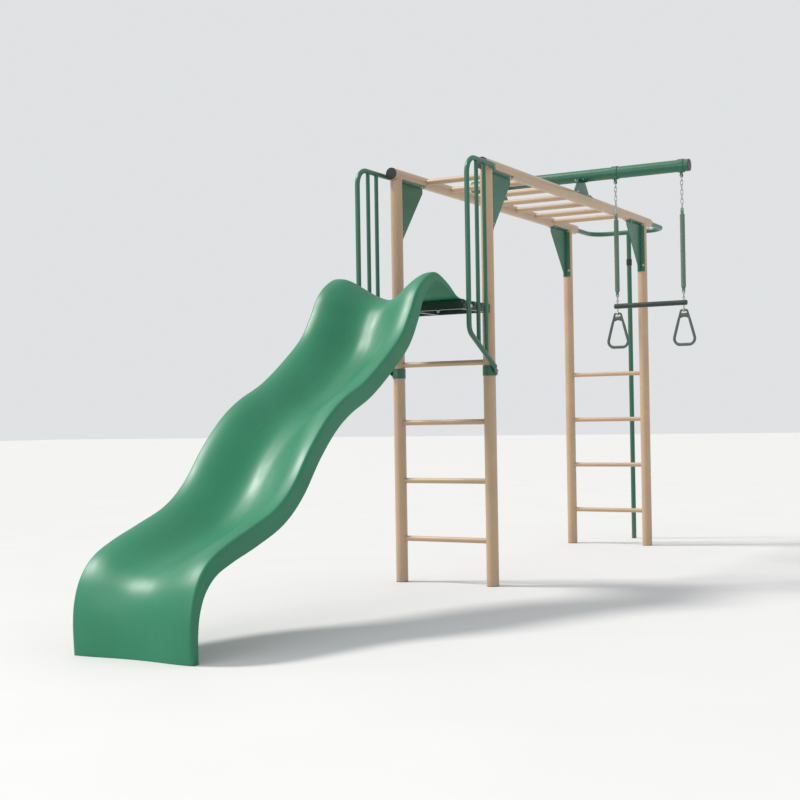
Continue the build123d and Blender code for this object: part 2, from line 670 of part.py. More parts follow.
def chain_link(x, z, turned):
    """Oval link with its centre at z, in the XZ plane or turned into the YZ plane."""
    bow = LINK_HALF_W
    straight = LINK_PITCH / 2 + LINK_WIRE - bow
    across, facing = ((0, 1, 0), (1, 0, 0)) if turned else ((1, 0, 0), (0, -1, 0))
    plane = Plane((x, ARM_Y, z), x_dir=across, z_dir=facing)
    outline = SlotOverall(2 * (straight + bow), 2 * bow, rotation=90)
    path = plane * outline.wire()
    start = Plane(path @ 0, z_dir=path % 0)
    return sweep(start * Circle(LINK_WIRE), path=path)


def link_run(x, hole_z, count, turned):
    """Links that hang one below another from a hole at hole_z."""
    first = hole_z - LINK_DROP
    step = LINK_PITCH - LINK_SLACK
    return [chain_link(x, first - i * step, turned != bool(i % 2)) for i in range(count)]


def upper_chain(x):
    """Pivot eye and the links between it and the grip."""
    return [pivot_eye(x)] + link_run(x, PIVOT_Z - EYE_DROP, UPPER_LINKS, turned=False)


def grip(x):
    """Moulded hand grip: ribbed sleeve with a flat eye at each end."""
    half = EYE_T / 2
    body = rod((x, ARM_Y, GRIP_LOW), (x, ARM_Y, GRIP_TOP), GRIP_R)
    body = fillet(body.faces().filter_by(GeomType.PLANE).edges(), 4.0)
    groove_low, groove_high = GRIP_LOW + GRIP_PLAIN_END, GRIP_TOP - GRIP_PLAIN_END
    for i in range(GRIP_RIBS):
        z = groove_low + (groove_high - groove_low) * i / (GRIP_RIBS - 1)
        body -= Pos(x, ARM_Y, z) * Torus(GRIP_R + GROOVE_R / 2, GROOVE_R)
    for eye_z, edge_z in ((GRIP_EYE_TOP, GRIP_TOP - 3), (GRIP_EYE_LOW, GRIP_LOW + 3)):
        body += rod((x, ARM_Y - half, eye_z), (x, ARM_Y + half, eye_z), EYE_R)
        low, high = min(eye_z, edge_z), max(eye_z, edge_z)
        body += block((x - EYE_R, ARM_Y - half, low), (x + EYE_R, ARM_Y + half, high))
        body -= rod((x, ARM_Y - EYE_R, eye_z), (x, ARM_Y + EYE_R, eye_z), EYE_HOLE_R)
    return body


def lower_chain(x):
    """Links between the grip and the bar."""
    return link_run(x, GRIP_EYE_LOW, LOWER_LINKS, turned=True)


def eye_bolt(x):
    """Bolt through the bar with an eye for the chain above and one for the ring below."""
    half = EYE_T / 2
    body = rod((x, ARM_Y, RING_PIVOT_Z + RING_WIRE), (x, ARM_Y, BAR_EYE_Z - EYE_HOLE_R), BOLT_R)
    body += rod((x, ARM_Y - half, BAR_EYE_Z), (x, ARM_Y + half, BAR_EYE_Z), EYE_R)
    ring_half = RING_EYE_T / 2
    ring_eye = (x - ring_half, ARM_Y, RING_PIVOT_Z), (x + ring_half, ARM_Y, RING_PIVOT_Z)
    body += rod(*ring_eye, RING_EYE_R)
    body -= rod((x, ARM_Y - EYE_R, BAR_EYE_Z), (x, ARM_Y + EYE_R, BAR_EYE_Z), EYE_HOLE_R)
    hole_r = RING_WIRE + PIN_CLEARANCE
    return body - rod((x - EYE_R, ARM_Y, RING_PIVOT_Z), (x + EYE_R, ARM_Y, RING_PIVOT_Z), hole_r)


def trapeze_bar():
    """Hand bar with closed, rounded ends, bored for the two eye bolts."""
    low = HANGER_X[0] - BAR_OVERHANG
    high = HANGER_X[1] + BAR_OVERHANG
    body = rod((low, ARM_Y, BAR_Z), (high, ARM_Y, BAR_Z), BAR_R)
    body = fillet(body.faces().filter_by(GeomType.PLANE).edges(), 6.0)
    inner = (low + CAP_PLUG, ARM_Y, BAR_Z), (high - CAP_PLUG, ARM_Y, BAR_Z)
    core = rod(*inner, BAR_R - BAR_WALL)
    for x in HANGER_X:
        core -= rod((x, ARM_Y, BAR_Z - BAR_R), (x, ARM_Y, BAR_Z + BAR_R), BOLT_R + BAR_WALL)
    body -= core
    for x in HANGER_X:
        body -= rod((x, ARM_Y, BAR_Z - 2 * BAR_R), (x, ARM_Y, BAR_Z + 2 * BAR_R), BOLT_R)
    return body


def ring_web(x, half_top, half_low):
    """Plate that joins the two sides of a ring below its top."""
    corners = []
    for drop in RING_WEB:
        reach = half_top + (half_low - half_top) * drop / RING_HEIGHT
        corners.append((reach, RING_PIVOT_Z - drop))
    (upper_x, upper_z), (lower_x, lower_z) = corners
    outline = Polyline(
        (-upper_x, upper_z), (upper_x, upper_z), (lower_x, lower_z), (-lower_x, lower_z), close=True
    )
    plane = Plane(origin=(x, ARM_Y + RING_WEB_T / 2, 0), x_dir=(1, 0, 0), z_dir=(0, -1, 0))
    return extrude(plane_face(plane, outline), RING_WEB_T)


def ring(x):
    """Triangular hand ring whose short top side turns in the eye above it."""
    top, low = RING_PIVOT_Z, RING_PIVOT_Z - RING_HEIGHT
    half_top, half_low = RING_TOP_WIDTH / 2, RING_WIDTH / 2 - RING_WIRE
    corners = (
        (x, ARM_Y, top),
        (x + half_top, ARM_Y, top),
        (x + half_low, ARM_Y, low),
        (x - half_low, ARM_Y, low),
        (x - half_top, ARM_Y, top),
    )
    radii = [0.0, RING_TOP_CORNER_R, RING_CORNER_R, RING_CORNER_R, RING_TOP_CORNER_R]
    path = FilletPolyline(*corners, radius=radii, close=True)
    frame = sweep(Plane(path @ 0, z_dir=path % 0) * Circle(RING_WIRE), path=path)
    reach = half_low - RING_CORNER_R
    handle = rod((x - reach, ARM_Y, low), (x + reach, ARM_Y, low), RING_GRIP_R)
    handle = fillet(handle.faces().filter_by(GeomType.PLANE).edges(), 2.5)
    return frame + handle + ring_web(x, half_top, half_low)


# ---- assembly ----
def structure():
    """Posts, ladders, rails, gussets and the caps in their ends."""
    nodes = {}
    caps = []
    screws = []
    rail_holes = {LEFT_X: [], RIGHT_X: []}
    for name, (x, y) in CORNERS.items():
        seats = gusset_screws(x, y)
        holes = [screw_hole(*seat) for seat in seats]
        screws += [screw(*seat) for seat in seats]
        rail_holes[x] += holes
        nodes[f"post_{name}_lower"] = post_lower(x, y)
        nodes[f"post_{name}_upper"] = drilled(post_upper(x, y), holes)
        nodes[f"gusset_{name}"] = drilled(gusset(x, y), holes)
        caps.append(foot_cap(x, y, TUBE_R, TUBE_WALL))
    caps.append(foot_cap(SLIDE_MID, LOOP_Y, LOOP_R, LOOP_WALL))
    nodes["foot_caps"] = caps
    for i in range(LADDER_RUNGS):
        z = FIRST_RUNG_Z + i * RUNG_PITCH
        nodes[f"front_rung_{i + 1}"] = ladder_rung(FRONT_Y, z)
        nodes[f"rear_rung_{i + 1}"] = ladder_rung(REAR_Y, z)
    for i in range(OVERHEAD_RUNGS):
        y = BAY_LENGTH * (i + 1) / (OVERHEAD_RUNGS + 1)
        nodes[f"overhead_rung_{i + 1}"] = overhead_rung(y)
    for side, x in (("left", LEFT_X), ("right", RIGHT_X)):
        seats = bracket_screws(x)
        screws += [screw(*seat) for seat in seats]
        holes = [screw_hole(*seat) for seat in seats]
        nodes[f"beam_bracket_{side}"] = drilled(arm_bracket(x), holes)
        rail = tube((x, RAIL_FRONT, RAIL_Z), (x, RAIL_REAR, RAIL_Z), TUBE_R, TUBE_WALL)
        nodes[f"rail_{side}"] = drilled(rail, rail_holes[x] + holes)
    nodes["rail_end_caps"] = [
        end_cap((x, RAIL_FRONT, RAIL_Z), (0, -1, 0), TUBE_R, TUBE_WALL)
        for x in (LEFT_X, RIGHT_X)
    ]
    return nodes, screws


def guards_and_deck(nodes, screws):
    """Hoops, their saddles and bars, the deck, and the slide bolted to it."""
    seats = deck_bolt_seats()
    holes = [bolt_hole(*seat[:2]) for seat in seats]
    for side, x, outward in (("left", LEFT_X, -1), ("right", RIGHT_X, 1)):
        tab_face = x + outward * (TUBE_R + TAB_GAP + TAB_T)
        top_seat = ((tab_face, TOP_TAB_SCREW, HOOP_TOP_Z), (-outward, 0, 0))
        low_seat = hoop_foot_seat(x, outward)
        screws += [screw(*top_seat), screw(*low_seat)]
        screw_holes = [screw_hole(*top_seat), screw_hole(*low_seat)]
        nodes[f"hoop_{side}"] = drilled(hoop(x, outward), holes + screw_holes)
        nodes[f"hoop_bars_{side}"] = hoop_bars(x, outward)
        nodes[f"saddle_{side}"] = drilled(saddle(x), screw_holes)
        nodes[f"rail_{side}"] = drilled(nodes[f"rail_{side}"], screw_holes[:1])
        for part in ("lower", "upper"):
            post = f"post_front_{side}_{part}"
            nodes[post] = drilled(nodes[post], screw_holes[1:])
    nodes["deck_panel"] = drilled(deck_panel(), holes)
    nodes["deck_frame"] = drilled(deck_frame(), holes)
    nodes["slide"] = drilled(slide_shell(), holes)
    nodes["carriage_bolts"] = [carriage_bolt(*seat) for seat in seats]


def beam_and_pole(nodes):
    """Cross beam with its end fittings, the end loop and the fireman's pole."""
    arm_body = arm()
    for x in (LEFT_X, RIGHT_X):
        arm_body = drilled(arm_body, [screw_hole(*seat) for seat in bracket_screws(x)])
    nodes["cross_beam"] = arm_body
    nodes["beam_end_cap"] = end_cap((ARM_RIGHT, ARM_Y, ARM_Z), (1, 0, 0), ARM_R, ARM_WALL)
    nodes["beam_coupler"] = arm_coupler()
    nodes["end_loop"] = end_loop()
    nodes["pole"] = pole()
    nodes["pole_collar"] = pole_collar()


def trapeze(nodes):
    """Hangers on the beam, and everything that swings from them."""
    for side, x in zip(("left", "right"), HANGER_X):
        nodes[f"hanger_{side}"] = hanger(x)
        nodes[f"chain_{side}"] = upper_chain(x) + lower_chain(x)
        nodes[f"grip_{side}"] = grip(x)
        nodes[f"ring_{side}"] = ring(x)
    nodes["trapeze_bar"] = trapeze_bar()
    nodes["eye_bolts"] = [eye_bolt(x) for x in HANGER_X]


def build():
    """Every node of the station, by name."""
    nodes, screws = structure()
    guards_and_deck(nodes, screws)
    beam_and_pole(nodes)
    trapeze(nodes)
    nodes["frame_screws"] = screws
    return nodes


def solids_of(shape):
    """All solids of a node that is one shape or a list of them."""
    pieces = shape if isinstance(shape, list) else [shape]
    return [solid for piece in pieces for solid in piece.solids()]


def footprint_centre(nodes):
    """Middle of the whole station's box, on the ground."""
    boxes = [solid.bounding_box() for shape in nodes.values() for solid in solids_of(shape)]
    low_x, high_x = min(box.min.X for box in boxes), max(box.max.X for box in boxes)
    low_y, high_y = min(box.min.Y for box in boxes), max(box.max.Y for box in boxes)
    return Vector((low_x + high_x) / 2, (low_y + high_y) / 2, 0)


def write(nodes):
    """One STEP file per node, moved to the footprint's centre."""
    os.makedirs("parts", exist_ok=True)
    centre = footprint_centre(nodes)
    print("footprint centre", round(centre.X, 3), round(centre.Y, 3))
    shift = Pos(-centre.X, -centre.Y, 0)
    for name, shape in nodes.items():
        solids = [shift * solid for solid in solids_of(shape)]
        whole = solids[0] if len(solids) == 1 else Compound(children=solids)
        export_step(whole, f"parts/{name}.step")


if __name__ == "__main__":
    write(build())
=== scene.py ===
import json
import math

import bmesh
import bpy
from mathutils import Matrix, Vector


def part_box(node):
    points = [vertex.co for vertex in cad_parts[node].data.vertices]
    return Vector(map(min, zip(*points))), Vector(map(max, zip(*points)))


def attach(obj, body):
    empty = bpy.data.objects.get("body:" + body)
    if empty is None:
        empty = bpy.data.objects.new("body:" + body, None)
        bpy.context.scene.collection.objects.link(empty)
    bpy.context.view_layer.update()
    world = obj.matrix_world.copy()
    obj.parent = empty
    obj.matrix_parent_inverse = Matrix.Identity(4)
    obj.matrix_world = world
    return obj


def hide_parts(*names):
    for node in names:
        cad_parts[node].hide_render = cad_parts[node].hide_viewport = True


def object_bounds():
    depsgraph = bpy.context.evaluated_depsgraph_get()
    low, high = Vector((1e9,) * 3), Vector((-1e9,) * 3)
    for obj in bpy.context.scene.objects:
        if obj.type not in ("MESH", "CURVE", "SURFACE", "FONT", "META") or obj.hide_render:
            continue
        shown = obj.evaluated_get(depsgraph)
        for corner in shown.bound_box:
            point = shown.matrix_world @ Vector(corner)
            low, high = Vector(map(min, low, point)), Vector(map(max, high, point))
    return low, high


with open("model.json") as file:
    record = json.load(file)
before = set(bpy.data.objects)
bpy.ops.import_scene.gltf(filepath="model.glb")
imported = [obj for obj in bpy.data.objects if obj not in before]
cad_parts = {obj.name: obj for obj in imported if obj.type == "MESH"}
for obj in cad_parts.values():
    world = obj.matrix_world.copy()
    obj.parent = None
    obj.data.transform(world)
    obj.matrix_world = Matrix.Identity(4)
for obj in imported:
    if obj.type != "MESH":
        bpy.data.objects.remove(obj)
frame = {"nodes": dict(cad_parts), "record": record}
cad_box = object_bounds()
NODES = frame["nodes"]

# ---- driving values, in metres and degrees ----
LOW, HIGH = cad_box
POST_R = 0.03175
WELD_R = 0.0021
WELD_POINTS = 28

# Camera: the place, direction and small roll that the station is seen from.
CAMERA_AZIMUTH = 29.3
CAMERA_PITCH = 0.9
CAMERA_DISTANCE = 7.09
CAMERA_HEIGHT = 0.848
CAMERA_ROLL = 0.9
CAMERA_LENS = 61.0
AIM = Vector((-0.46, -0.29, 0.0))

# Slide, side view from the deck lip to the exit: crest of the rim (y, z), middle of the
# bed (y, z) and height of the outer skirt. The same profile as the frame's slide.
SLIDE_STATIONS = (
    ((-0.300, 1.4450), (-0.300, 1.4435), 0.005),
    ((-0.342, 1.4455), (-0.342, 1.4435), 0.005),
    ((-0.390, 1.4600), (-0.385, 1.4430), 0.014),
    ((-0.470, 1.5110), (-0.460, 1.4415), 0.030),
    ((-0.590, 1.5530), (-0.560, 1.4380), 0.040),
    ((-0.695, 1.5190), (-0.630, 1.4230), 0.050),
    ((-0.780, 1.4510), (-0.695, 1.3820), 0.064),
    ((-0.845, 1.3520), (-0.756, 1.3030), 0.074),
    ((-0.930, 1.2460), (-0.845, 1.1720), 0.080),
    ((-1.065, 1.1440), (-0.999, 1.0560), 0.080),
    ((-1.250, 1.0300), (-1.202, 0.9360), 0.080),
    ((-1.430, 0.9520), (-1.384, 0.8580), 0.080),
    ((-1.560, 0.8720), (-1.495, 0.7910), 0.080),
    ((-1.690, 0.7550), (-1.614, 0.6870), 0.080),
    ((-1.820, 0.6100), (-1.752, 0.5370), 0.080),
    ((-1.946, 0.5210), (-1.897, 0.4360), 0.080),
    ((-2.110, 0.4610), (-2.080, 0.3740), 0.080),
    ((-2.260, 0.4100), (-2.233, 0.3370), 0.074),
    ((-2.370, 0.3580), (-2.338, 0.3080), 0.066),
    ((-2.440, 0.2850), (-2.406, 0.2610), 0.056),
    ((-2.474, 0.2000), (-2.447, 0.1930), 0.046),
    ((-2.483, 0.1100), (-2.463, 0.1080), 0.038),
    ((-2.477, 0.0000), (-2.460, 0.0000), 0.032),
)
SLIDE_SHEET = 0.004
SLIDE_STEPS = 7  # rows of mesh between two stations

# Deck tread: oval studs that lean to and fro.
STUD_PITCH = 0.026
STUD_EDGE = 0.020
STUD_LONG = 0.0085
STUD_SHORT = 0.0032
STUD_HEIGHT = 0.0013
STUD_TOP = 0.55  # size of a stud's top against its foot
STUD_POINTS = 10

# Hand rings.
RING_TOP_HALF = 0.018
RING_CORNERS = (0.010, 0.034, 0.034, 0.010)  # corner radii, clockwise from the top right
RING_SPREAD = 0.0025  # corner line outside the frame's ring
RING_WIRE = 0.006
RING_SWELL = 0.0022
RING_GRIP_SWELL = 0.0008
WEB_TOP = 0.017
WEB_LOW = 0.052
WEB_HALF_T = 0.0038
WEB_ARCH = 0.012


def centre(node):
    """Middle of a node's box."""
    low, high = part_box(node)
    return (low + high) / 2


# ---- camera, lights and floor ----
def make_camera():
    azimuth, pitch = math.radians(CAMERA_AZIMUTH), math.radians(CAMERA_PITCH)
    level = Vector((-math.sin(azimuth), math.cos(azimuth), 0))
    look = level * math.cos(pitch) + Vector((0, 0, math.sin(pitch)))
    place = AIM - level * CAMERA_DISTANCE
    place.z = CAMERA_HEIGHT
    data = bpy.data.cameras.new("view_camera")
    data.lens = CAMERA_LENS
    data.clip_end = 200
    camera = bpy.data.objects.new("view_camera", data)
    bpy.context.scene.collection.objects.link(camera)
    turn = look.to_track_quat("-Z", "Y").to_matrix()
    roll = Matrix.Rotation(math.radians(-CAMERA_ROLL), 3, "Z")
    camera.matrix_world = Matrix.Translation(place) @ (turn @ roll).to_4x4()
    bpy.context.scene.camera = camera


def place_light(name, data, place, target):
    light = bpy.data.objects.new(name, data)
    bpy.context.scene.collection.objects.link(light)
    way = Vector(target) - Vector(place)
    turn = way.to_track_quat("-Z", "Y").to_matrix().to_4x4()
    light.matrix_world = Matrix.Translation(place) @ turn


def soft_sun(name, place, target, strength, spread, colour):
    data = bpy.data.lights.new(name, "SUN")
    data.energy = strength
    data.angle = math.radians(spread)
    data.color = colour
    place_light(name, data, place, target)


def area_light(name, place, target, size, power, colour):
    data = bpy.data.lights.new(name, "AREA")
    data.shape = "DISK"
    data.size = size
    data.energy = power
    data.color = colour
    place_light(name, data, place, target)


def make_lights():
    middle = (LOW + HIGH) / 2
    soft_sun("key_light", (-6.5, -2.4, 9.6), middle, 3.1, 12.0, (1.0, 0.97, 0.93))
    area_light("fill_light", (-1.5, -8.0, 3.0), middle, 5.0, 110, (0.97, 0.98, 1.0))
    world = bpy.data.worlds.new("studio")
    world.use_nodes = True
    background = world.node_tree.nodes["Background"]
    background.inputs["Color"].default_value = (0.93, 0.95, 0.97, 1)
    background.inputs["Strength"].default_value = 0.80
    bpy.context.scene.world = world
    bpy.context.scene.view_settings.view_transform = "Standard"
    bpy.context.scene.view_settings.look = "None"


def make_floor():
    mesh = bpy.data.meshes.new("floor")
    reach = 60.0
    corners = [(-reach, -reach, 0), (reach, -reach, 0), (reach, reach, 0), (-reach, reach, 0)]
    mesh.from_pydata(corners, [], [(0, 1, 2, 3)])
    floor = bpy.data.objects.new("floor", mesh)
    bpy.context.scene.collection.objects.link(floor)
    mesh.materials.append(floor_material())


# ---- materials ----
def new_material(name):
    material = bpy.data.materials.new(name)
    material.use_nodes = True
    nodes, links = material.node_tree.nodes, material.node_tree.links
    return material, nodes, links, nodes["Principled BSDF"]


def noise(nodes, links, coords, scale, detail=4.0, stretch=(1, 1, 1)):
    """Noise at a real size: scale is features per metre along each stretched axis."""
    mapping = nodes.new("ShaderNodeMapping")
    mapping.inputs["Scale"].default_value = stretch
    texture = nodes.new("ShaderNodeTexNoise")
    texture.inputs["Scale"].default_value = scale
    texture.inputs["Detail"].default_value = detail
    links.new(coords, mapping.inputs["Vector"])
    links.new(mapping.outputs["Vector"], texture.inputs["Vector"])
    return texture.outputs["Fac"]


def ramp(nodes, links, source, stops):
    """Colour ramp with stops of (position, colour)."""
    node = nodes.new("ShaderNodeValToRGB")
    elements = node.color_ramp.elements
    while len(elements) < len(stops):
        elements.new(0.5)
    for element, (position, colour) in zip(elements, stops):
        element.position = position
        element.color = (*colour, 1)
    links.new(source, node.inputs["Fac"])
    return node.outputs["Color"]


def mixed(nodes, links, factor, first, colour):
    """Mix of a colour output with one fixed colour, by a factor output."""
    node = nodes.new("ShaderNodeMix")
    node.data_type = "RGBA"
    links.new(factor, node.inputs["Factor"])
    links.new(first, node.inputs["A"])
    node.inputs["B"].default_value = (*colour, 1)
    return node.outputs["Result"]


def grey_ramp(nodes, links, source, low, high, start=0.35, end=0.65):
    return ramp(nodes, links, source, ((start, (low,) * 3), (end, (high,) * 3)))


def bumped(nodes, links, height, shader, strength, distance):
    bump = nodes.new("ShaderNodeBump")
    bump.inputs["Strength"].default_value = strength
    bump.inputs["Distance"].default_value = distance
    links.new(height, bump.inputs["Height"])
    links.new(bump.outputs["Normal"], shader.inputs["Normal"])


def shade(colour, factor):
    return tuple(min(channel * factor, 1.0) for channel in colour)


def ground_dust(nodes, links, coords):
    """Patchy factor that is strongest at the ground and gone 0.22 m above it."""
    height = nodes.new("ShaderNodeSeparateXYZ")
    links.new(coords, height.inputs[0])
    near_ground = ramp(
        nodes, links, height.outputs["Z"], ((0.0, (0.5,) * 3), (0.22, (0.0,) * 3))
    )
    patch = nodes.new("ShaderNodeMath")
    patch.operation = "MULTIPLY"
    links.new(near_ground, patch.inputs[0])
    links.new(noise(nodes, links, coords, 45.0, 6.0), patch.inputs[1])
    return patch.outputs[0]


def powder_coat(name, colour, scuff):
    """Powder-coated steel: orange peel, slight tone drift, rubbed patches and dust."""
    material, nodes, links, shader = new_material(name)
    coords = nodes.new("ShaderNodeTexCoord").outputs["Object"]
    drift = noise(nodes, links, coords, 5.0)
    tone = ramp(nodes, links, drift, ((0.3, shade(colour, 0.94)), (0.7, shade(colour, 1.05))))
    rub = noise(nodes, links, coords, 34.0, 8.0)
    rubbed = grey_ramp(nodes, links, rub, 0.0, 0.35, 0.60, 0.78)
    worn = mixed(nodes, links, rubbed, tone, scuff)
    dusty = mixed(nodes, links, ground_dust(nodes, links, coords), worn, EARTH)
    links.new(dusty, shader.inputs["Base Color"])
    gloss = noise(nodes, links, coords, 60.0, 6.0)
    links.new(grey_ramp(nodes, links, gloss, 0.30, 0.46), shader.inputs["Roughness"])
    bumped(nodes, links, noise(nodes, links, coords, 900.0, 2.0), shader, 0.16, 0.0004)
    shader.inputs["Coat Weight"].default_value = 0.18
    shader.inputs["Coat Roughness"].default_value = 0.22
    return material


def moulded_plastic(name, colour, worn, rough, grain, grain_depth):
    """Moulded plastic: soft tone drift, long rub marks along Y, fine pebble grain."""
    material, nodes, links, shader = new_material(name)
    coords = nodes.new("ShaderNodeTexCoord").outputs["Object"]
    drift = noise(nodes, links, coords, 2.2, 3.0)
    tone = ramp(nodes, links, drift, ((0.3, shade(colour, 0.92)), (0.7, shade(colour, 1.08))))
    marks = noise(nodes, links, coords, 160.0, 6.0, (1, 0.05, 0.08))
    rubbed = grey_ramp(nodes, links, marks, 0.0, 0.5, 0.5, 0.8)
    links.new(mixed(nodes, links, rubbed, tone, worn), shader.inputs["Base Color"])
    gloss = noise(nodes, links, coords, 18.0, 7.0, (1, 0.2, 0.3))
    links.new(grey_ramp(nodes, links, gloss, *rough), shader.inputs["Roughness"])
    pebble = noise(nodes, links, coords, grain, 2.0)
    bumped(nodes, links, pebble, shader, grain_depth, 0.0005)
    shader.inputs["Specular IOR Level"].default_value = 0.5
    return material


def plated_steel(name, colour, stain):
    """Zinc plate: mottled spangle, dull spots and fine scratches."""
    material, nodes, links, shader = new_material(name)
    coords = nodes.new("ShaderNodeTexCoord").outputs["Object"]
    spangle = nodes.new("ShaderNodeTexVoronoi")
    spangle.inputs["Scale"].default_value = 380.0
    links.new(coords, spangle.inputs["Vector"])
    tone = ramp(
        nodes, links, spangle.outputs["Distance"], ((0.1, shade(colour, 0.82)), (0.7, colour))
    )
    spots = grey_ramp(nodes, links, noise(nodes, links, coords, 160.0, 6.0), 0.0, 0.6, 0.56, 0.72)
    links.new(mixed(nodes, links, spots, tone, stain), shader.inputs["Base Color"])
    gloss = noise(nodes, links, coords, 90.0)
    links.new(grey_ramp(nodes, links, gloss, 0.30, 0.52), shader.inputs["Roughness"])
    shader.inputs["Metallic"].default_value = 0.9
    bumped(nodes, links, noise(nodes, links, coords, 1400.0, 3.0), shader, 0.12, 0.0002)
    return material


def floor_material():
    """Pale studio floor with a very faint mottling."""
    material, nodes, links, shader = new_material("pale_floor")
    coords = nodes.new("ShaderNodeTexCoord").outputs["Object"]
    tone = ramp(
        nodes, links, noise(nodes, links, coords, 1.6), ((0.3, (0.585,) * 3), (0.7, (0.60,) * 3))
    )
    links.new(tone, shader.inputs["Base Color"])
    shader.inputs["Roughness"].default_value = 0.75
    return material


EARTH = (0.20, 0.16, 0.12)
TAN = (0.47, 0.325, 0.205)
GREEN = (0.016, 0.118, 0.066)
SLIDE_GREEN = (0.007, 0.160, 0.076)


def make_materials():
    return {
        "tan_powder_coat": powder_coat("tan_powder_coat", TAN, (0.34, 0.24, 0.16)),
        "green_powder_coat": powder_coat("green_powder_coat", GREEN, (0.035, 0.15, 0.095)),
        # Deck coating: the deck's dark green is darkened to near black, and that near black is
        # painted shade from under the deck.
        "deck_coating": powder_coat("deck_coating", (0.012, 0.035, 0.024), (0.05, 0.07, 0.06)),
        "bar_coating": powder_coat("bar_coating", (0.012, 0.03, 0.02), (0.04, 0.06, 0.05)),
        "hanger_coating": powder_coat("hanger_coating", GREEN, (0.035, 0.15, 0.095)),
        "slide_plastic": moulded_plastic(
            "slide_plastic", SLIDE_GREEN, (0.02, 0.185, 0.10), (0.40, 0.50), 420.0, 0.14
        ),
        "grip_plastic": moulded_plastic(
            "grip_plastic", (0.10, 0.16, 0.12), (0.16, 0.22, 0.18), (0.45, 0.62), 700.0, 0.3
        ),
        "ring_plastic": moulded_plastic(
            "ring_plastic", (0.075, 0.10, 0.08), (0.14, 0.16, 0.14), (0.38, 0.55), 700.0, 0.2
        ),
        "black_plastic": moulded_plastic(
            "black_plastic", (0.012, 0.012, 0.013), (0.03,) * 3, (0.35, 0.5), 800.0, 0.2
        ),
        "zinc_steel": plated_steel("zinc_steel", (0.50, 0.50, 0.48), (0.30, 0.29, 0.27)),
    }


def paint_frame(materials):
    """Gives every CAD node the procedural material of its slot."""
    for part in frame["record"]["subparts"]:
        node = NODES[part["node"]]
        node.data.materials.clear()
        node.data.materials.append(materials[part["material_slot"]])


# ---- mesh helpers ----
def add_piece(name, bm, material, body):
    """Object made from a finished bmesh and on its body."""
    bmesh.ops.recalc_face_normals(bm, faces=bm.faces)
    mesh = bpy.data.meshes.new(name)
    bm.to_mesh(mesh)
    bm.free()
    mesh.materials.append(material)
    mesh.polygons.foreach_set("use_smooth", [True] * len(mesh.polygons))
    piece = bpy.data.objects.new(name, mesh)
    bpy.context.scene.collection.objects.link(piece)
    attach(piece, body)
    return piece


def closed_tube(bm, points, radii, sides, facing):
    """Tube round a closed line, with its own radius at every point."""
    count = len(points)
    rings = []
    for i, point in enumerate(points):
        along = (points[(i + 1) % count] - points[i - 1]).normalized()
        side = along.cross(facing).normalized()
        up = side.cross(along)
        ring = []
        for k in range(sides):
            turn = 2 * math.pi * k / sides
            offset = side * math.cos(turn) + up * math.sin(turn)
            ring.append(bm.verts.new(point + offset * radii[i]))
        rings.append(ring)
    for near, far in zip(rings, rings[1:] + rings[:1]):
        for k in range(sides):
            j = (k + 1) % sides
            bm.faces.new((near[k], near[j], far[j], far[k]))


# ---- slide ----
def smooth_station(index, share):
    """Point between two stations on a smooth curve through all of them."""
    last = len(SLIDE_STATIONS) - 1
    rows = [SLIDE_STATIONS[min(max(index + k, 0), last)] for k in (-1, 0, 1, 2)]
    flat = [(*rim, *bed, skirt) for rim, bed, skirt in rows]
    values = []
    for a, b, c, d in zip(*flat):
        cubic = (
            2 * b
            + (c - a) * share
            + (2 * a - 5 * b + 4 * c - d) * share**2
            + (3 * b - a - 3 * c + d) * share**3
        )
        values.append(cubic / 2)
    return values


def slide_outline(depth, skirt, half):
    """Upper line of the slide's section: skirt, rolled rim, trough wall and bed."""
    roll = min(0.013, skirt * 0.45, max(depth, skirt) * 0.5)
    crest = half - roll
    line = []
    for k in range(7):
        line.append((half, depth - skirt + (skirt - roll) * k / 7))
    for k in range(8):
        turn = math.radians(90 * k / 7)
        line.append((crest + roll * math.cos(turn), depth - roll + roll * math.sin(turn)))
    inner = crest - roll * 0.7
    steps = 22
    for k in range(1, steps + 1):
        share = k / steps
        x = inner * (1 - share)
        fall = 0.5 - 0.5 * math.cos(math.pi * min(share * 1.06, 1.0))
        line.append((x, depth * (1 - fall)))
    return line + [(-x, h) for x, h in reversed(line[:-1])]


def make_slide(material):
    low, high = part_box("slide")
    half = (high.x - low.x) / 2 - 0.0005
    front_y = centre("post_front_left_lower").y
    bm = bmesh.new()
    rows = []
    last = len(SLIDE_STATIONS) - 1
    for index in range(last):
        steps = SLIDE_STEPS + (1 if index == last - 1 else 0)
        for step in range(steps):
            rim_y, rim_z, bed_y, bed_z, skirt = smooth_station(index, step / SLIDE_STEPS)
            rise = Vector((0, rim_y - bed_y, rim_z - bed_z))
            depth = rise.length
            up = rise.normalized()
            start = Vector(((low.x + high.x) / 2, bed_y + front_y, bed_z))
            row = []
            for x, h in slide_outline(depth, skirt, half):
                row.append(bm.verts.new(start + Vector((x, 0, 0)) + up * h))
            rows.append(row)
    for near, far in zip(rows, rows[1:]):
        for k in range(len(near) - 1):
            bm.faces.new((near[k], far[k], far[k + 1], near[k + 1]))
    slide = add_piece("slide_shell", bm, material, "station")
    top = max(slide.data.polygons, key=lambda face: face.center.z)
    inward = -1.0 if top.normal.z > 0 else 1.0
    sheet = slide.modifiers.new("sheet", "SOLIDIFY")
    sheet.thickness = SLIDE_SHEET
    sheet.offset = inward
    edge = slide.modifiers.new("edge", "BEVEL")
    edge.width = 0.0012
    edge.segments = 2
    edge.limit_method = "ANGLE"
    edge.angle_limit = math.radians(50)
    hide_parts("slide")


